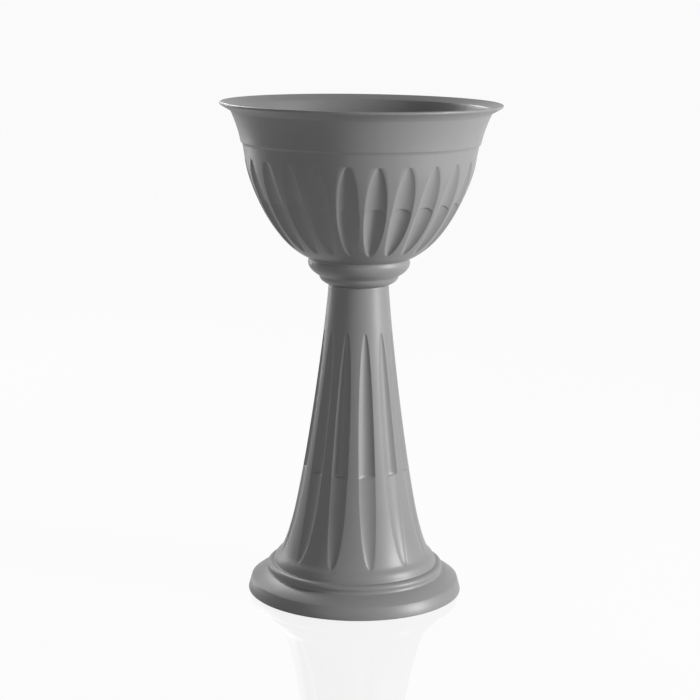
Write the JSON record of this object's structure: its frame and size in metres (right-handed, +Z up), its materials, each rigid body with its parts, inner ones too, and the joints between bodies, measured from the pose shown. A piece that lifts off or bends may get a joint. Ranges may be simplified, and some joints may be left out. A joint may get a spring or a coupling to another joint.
{
  "type": "pedestal planter",
  "caption": "Free-standing urn planter: a fluted round bowl with a flared lip that plugs into a tall hollow fluted column on a round plinth.",
  "frame": {"origin": "centre of the column's foot, on the ground", "axes": "+Z up along the common axis of column and bowl, -Y towards the viewer of the picture"},
  "size_m": [0.3998, 0.3998, 0.711],
  "materials": {
    "moulded_grey": "satin moulded plastic, neutral mid grey",
    "plug_grey": "satin moulded plastic, dark grey"
  },
  "bodies": {
    "column": {"column": "moulded_grey"},
    "bowl": {"bowl": "moulded_grey"},
    "drain_plug": {"drain_plug": "plug_grey"}
  },
  "joints": [
    {"name": "bowl_lift", "type": "slide", "parent": "column", "child": "bowl", "axis": [0, 0, 1], "range_m": [0, 0.04]},
    {"name": "plug_pull", "type": "slide", "parent": "bowl", "child": "drain_plug", "axis": [0, 0, 1], "range_m": [0, 0.015]}
  ]
}
